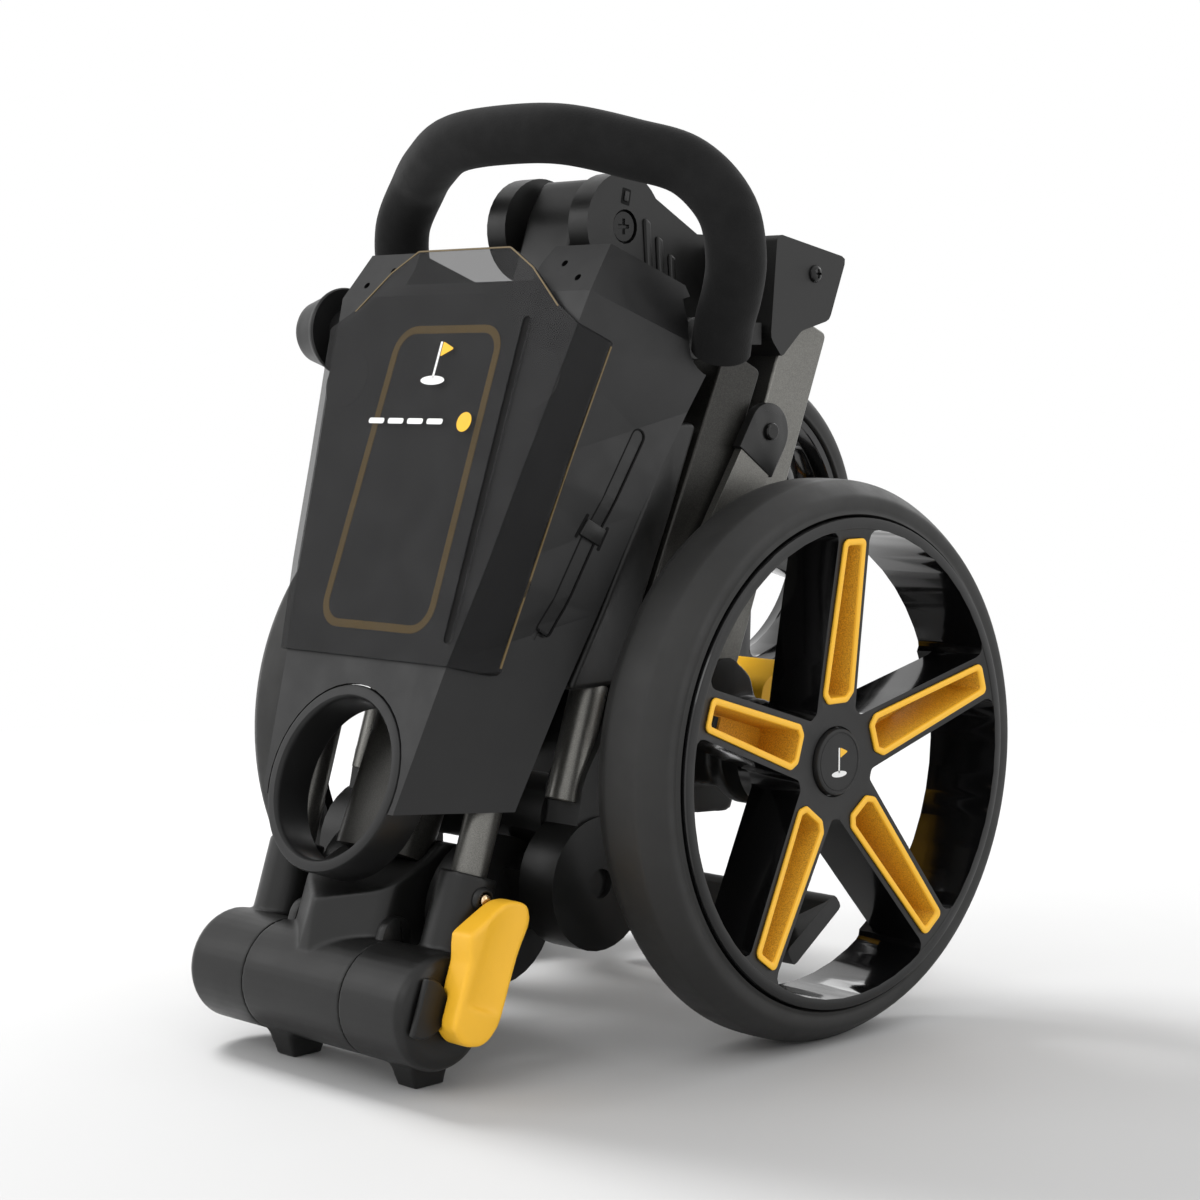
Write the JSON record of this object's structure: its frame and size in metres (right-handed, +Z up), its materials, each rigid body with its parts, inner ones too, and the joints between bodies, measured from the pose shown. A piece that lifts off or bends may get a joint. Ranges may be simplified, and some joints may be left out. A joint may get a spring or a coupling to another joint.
{
  "type": "golf trolley",
  "caption": "Folded three-wheel golf trolley: spoked rear wheels, stowed front wheel, hinged spine, handle with lidded console, foam grip loop and fold lever.",
  "frame": {"origin": "middle of the folded trolley's footprint, on the ground", "axes": "+Z up, -Y towards the console lid, +X to the right seen from behind the lid side"},
  "size_m": [0.323, 0.4172, 0.4813],
  "materials": {
    "tyre": "matte soft tyre, wide rounded tread",
    "yellow_plastic": "fine grained saturated yellow",
    "rim_gloss": "deep gloss black",
    "cap_plastic": "satin black",
    "gunmetal_tube": "metallic gunmetal",
    "dark_tube": "dark sparkle gunmetal",
    "steel": "plain steel",
    "black_screw": "blackened screw",
    "brass": "bright",
    "smoked_lid": "smoked translucent",
    "foam": "closed cell foam, matte",
    "console_plastic": "satin charcoal, fine texture",
    "moulded_nylon": "fine textured black nylon"
  },
  "bodies": {
    "chassis": {"fork_pivot_pin": "steel", "axle_housing": "moulded_nylon", "axle_shaft": "steel", "rear_rail_left": "gunmetal_tube", "rear_rail_right": "gunmetal_tube", "top_bracket": "moulded_nylon", "upper_knuckle": "moulded_nylon", "top_hinge_pin": "steel", "front_leg_left": "dark_tube", "leg_casting_left": "moulded_nylon", "front_leg_right": "dark_tube", "leg_casting_right": "moulded_nylon", "side_stay_left": "gunmetal_tube", "stay_screw_left": "black_screw", "side_stay_right": "gunmetal_tube", "stay_screw_right": "black_screw", "bag_cradle": "moulded_nylon"},
    "spine": {"spine_tube": "dark_tube", "spine_eye": "moulded_nylon", "barrel_middle": "moulded_nylon", "barrel_pin": "steel"},
    "handle_frame": {"barrel_arm_left": "moulded_nylon", "barrel_arm_right": "moulded_nylon", "handle_tube_left": "gunmetal_tube", "handle_tube_right": "gunmetal_tube", "console_body": "console_plastic", "carry_ring": "console_plastic", "side_clip_left": "moulded_nylon", "side_clip_right": "moulded_nylon"},
    "lid": {"console_lid": "smoked_lid"},
    "lever": {"fold_lever": "yellow_plastic", "lever_cap": "moulded_nylon"},
    "grip": {"grip_foam": "foam", "grip_end_left": "moulded_nylon", "grip_end_right": "moulded_nylon"},
    "accessory": {"accessory_knob": "console_plastic"},
    "button": {"latch_button": "brass"},
    "fork": {"front_fork": "moulded_nylon", "front_axle": "steel"},
    "front_wheel": {"front_tyre": "tyre", "front_rim": "rim_gloss"},
    "pedal": {"brake_pedal": "yellow_plastic"},
    "pin_left": {"brake_pin_left": "steel"},
    "pin_right": {"brake_pin_right": "steel"},
    "rear_wheel_left": {"rear_tyre_left": "tyre", "rear_rim_left": "rim_gloss", "hub_cap_left": "cap_plastic", "spoke_insert_left_1": "yellow_plastic", "spoke_insert_left_2": "yellow_plastic", "spoke_insert_left_3": "yellow_plastic", "spoke_insert_left_4": "yellow_plastic", "spoke_insert_left_5": "yellow_plastic"},
    "rear_wheel_right": {"rear_tyre_right": "tyre", "rear_rim_right": "rim_gloss", "hub_cap_right": "cap_plastic", "spoke_insert_right_1": "yellow_plastic", "spoke_insert_right_2": "yellow_plastic", "spoke_insert_right_3": "yellow_plastic", "spoke_insert_right_4": "yellow_plastic", "spoke_insert_right_5": "yellow_plastic"}
  },
  "joints": [
    {"name": "spine_fold", "type": "hinge", "parent": "chassis", "child": "spine", "pos_m": [0, -0.01105, 0.4198], "axis": [-1, 0, 0], "range_deg": [0, 60]},
    {"name": "handle_fold", "type": "hinge", "parent": "spine", "child": "handle_frame", "pos_m": [0, -0.18005, 0.0387], "axis": [1, 0, 0], "range_deg": [0, 170]},
    {"name": "lid_hinge", "type": "hinge", "parent": "handle_frame", "child": "lid", "pos_m": [0, -0.15929, 0.20241], "axis": [1, 0, 0], "range_deg": [0, 100]},
    {"name": "fold_lever_pivot", "type": "hinge", "parent": "handle_frame", "child": "lever", "pos_m": [0.09, -0.19698, 0.04483], "axis": [1, 0, 0], "range_deg": [0, 45]},
    {"name": "grip_angle", "type": "hinge", "parent": "handle_frame", "child": "grip", "pos_m": [0, -0.00535, 0.361], "axis": [-1, 0, 0], "range_deg": [0, 35]},
    {"name": "accessory_turn", "type": "hinge", "parent": "handle_frame", "child": "accessory", "pos_m": [-0.1, -0.08035, 0.366], "axis": [-1, 0, 0], "range_deg": [0, 180]},
    {"name": "latch_press", "type": "slide", "parent": "handle_frame", "child": "button", "axis": [-1, 0, 0], "range_m": [0, 0.002], "stiffness_N_per_m": 300},
    {"name": "fork_fold", "type": "hinge", "parent": "chassis", "child": "fork", "pos_m": [0, 0.08965, 0.393], "axis": [1, 0, 0], "range_deg": [0, 150]},
    {"name": "front_wheel_spin", "type": "hinge", "parent": "fork", "child": "front_wheel", "pos_m": [0, 0.11365, 0.252], "axis": [1, 0, 0], "continuous": true},
    {"name": "rear_wheel_left_spin", "type": "hinge", "parent": "chassis", "child": "rear_wheel_left", "pos_m": [-0.135, 0.03035, 0.145], "axis": [1, 0, 0], "continuous": true},
    {"name": "rear_wheel_right_spin", "type": "hinge", "parent": "chassis", "child": "rear_wheel_right", "pos_m": [0.135, 0.03035, 0.145], "axis": [1, 0, 0], "continuous": true},
    {"name": "brake_pedal_press", "type": "hinge", "parent": "chassis", "child": "pedal", "pos_m": [0.046, 0.06665, 0.15], "axis": [-1, 0, 0], "range_deg": [0, 12]},
    {"name": "brake_pin_left_slide", "type": "slide", "parent": "chassis", "child": "pin_left", "axis": [-1, 0, 0], "range_m": [0, 0.006]},
    {"name": "brake_pin_right_slide", "type": "slide", "parent": "chassis", "child": "pin_right", "axis": [1, 0, 0], "range_m": [0, 0.006]}
  ],
  "couplings": [
    {"joint": "brake_pin_left_slide", "follows": "brake_pedal_press", "m_per_rad": 0.02862},
    {"joint": "brake_pin_right_slide", "follows": "brake_pedal_press", "m_per_rad": 0.02862}
  ]
}
